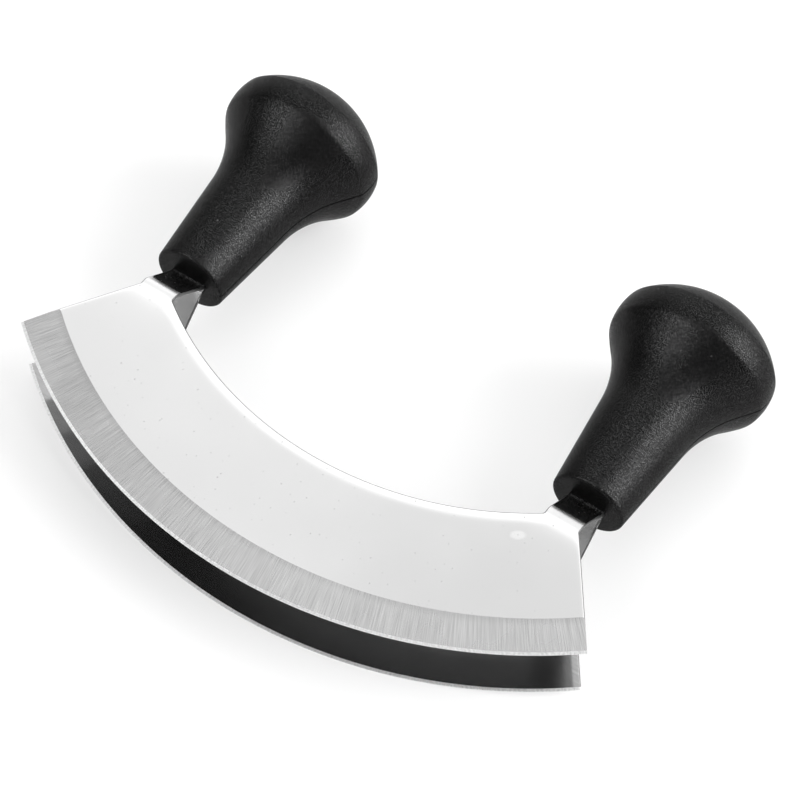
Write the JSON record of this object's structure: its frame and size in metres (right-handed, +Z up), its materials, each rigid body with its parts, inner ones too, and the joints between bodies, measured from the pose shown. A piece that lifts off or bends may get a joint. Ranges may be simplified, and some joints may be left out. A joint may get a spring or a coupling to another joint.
{
  "type": "double mezzaluna",
  "caption": "Two-bladed rocking herb chopper: parallel crescent blades whose folded tabs run as tangs into hollow black knob handles.",
  "frame": {"origin": "on the worktop, under the middle of the bounding box, with the tool lying on its side on the rear blade's cutting edge and both knobs", "axes": "+X along the blades' chord from the left handle to the right one, +Y from the cutting edges towards the knobs, +Z up from the worktop, through the rear blade and then the front blade"},
  "size_m": [0.168, 0.1378, 0.0458],
  "materials": {
    "blade_steel": "mirror-polished stainless sheet, the wide bevel ground with fine scratches across it",
    "black_plastic": "matt black moulded plastic with a fine pebbled texture",
    "pin_steel": "plain bright drawn steel"
  },
  "bodies": {
    "root": {"front_blade": "blade_steel", "rear_blade": "blade_steel", "left_handle_front_shell": "black_plastic", "left_handle_rear_shell": "black_plastic", "left_tang_pins": "pin_steel", "right_handle_front_shell": "black_plastic", "right_handle_rear_shell": "black_plastic", "right_tang_pins": "pin_steel"}
  },
  "joints": []
}
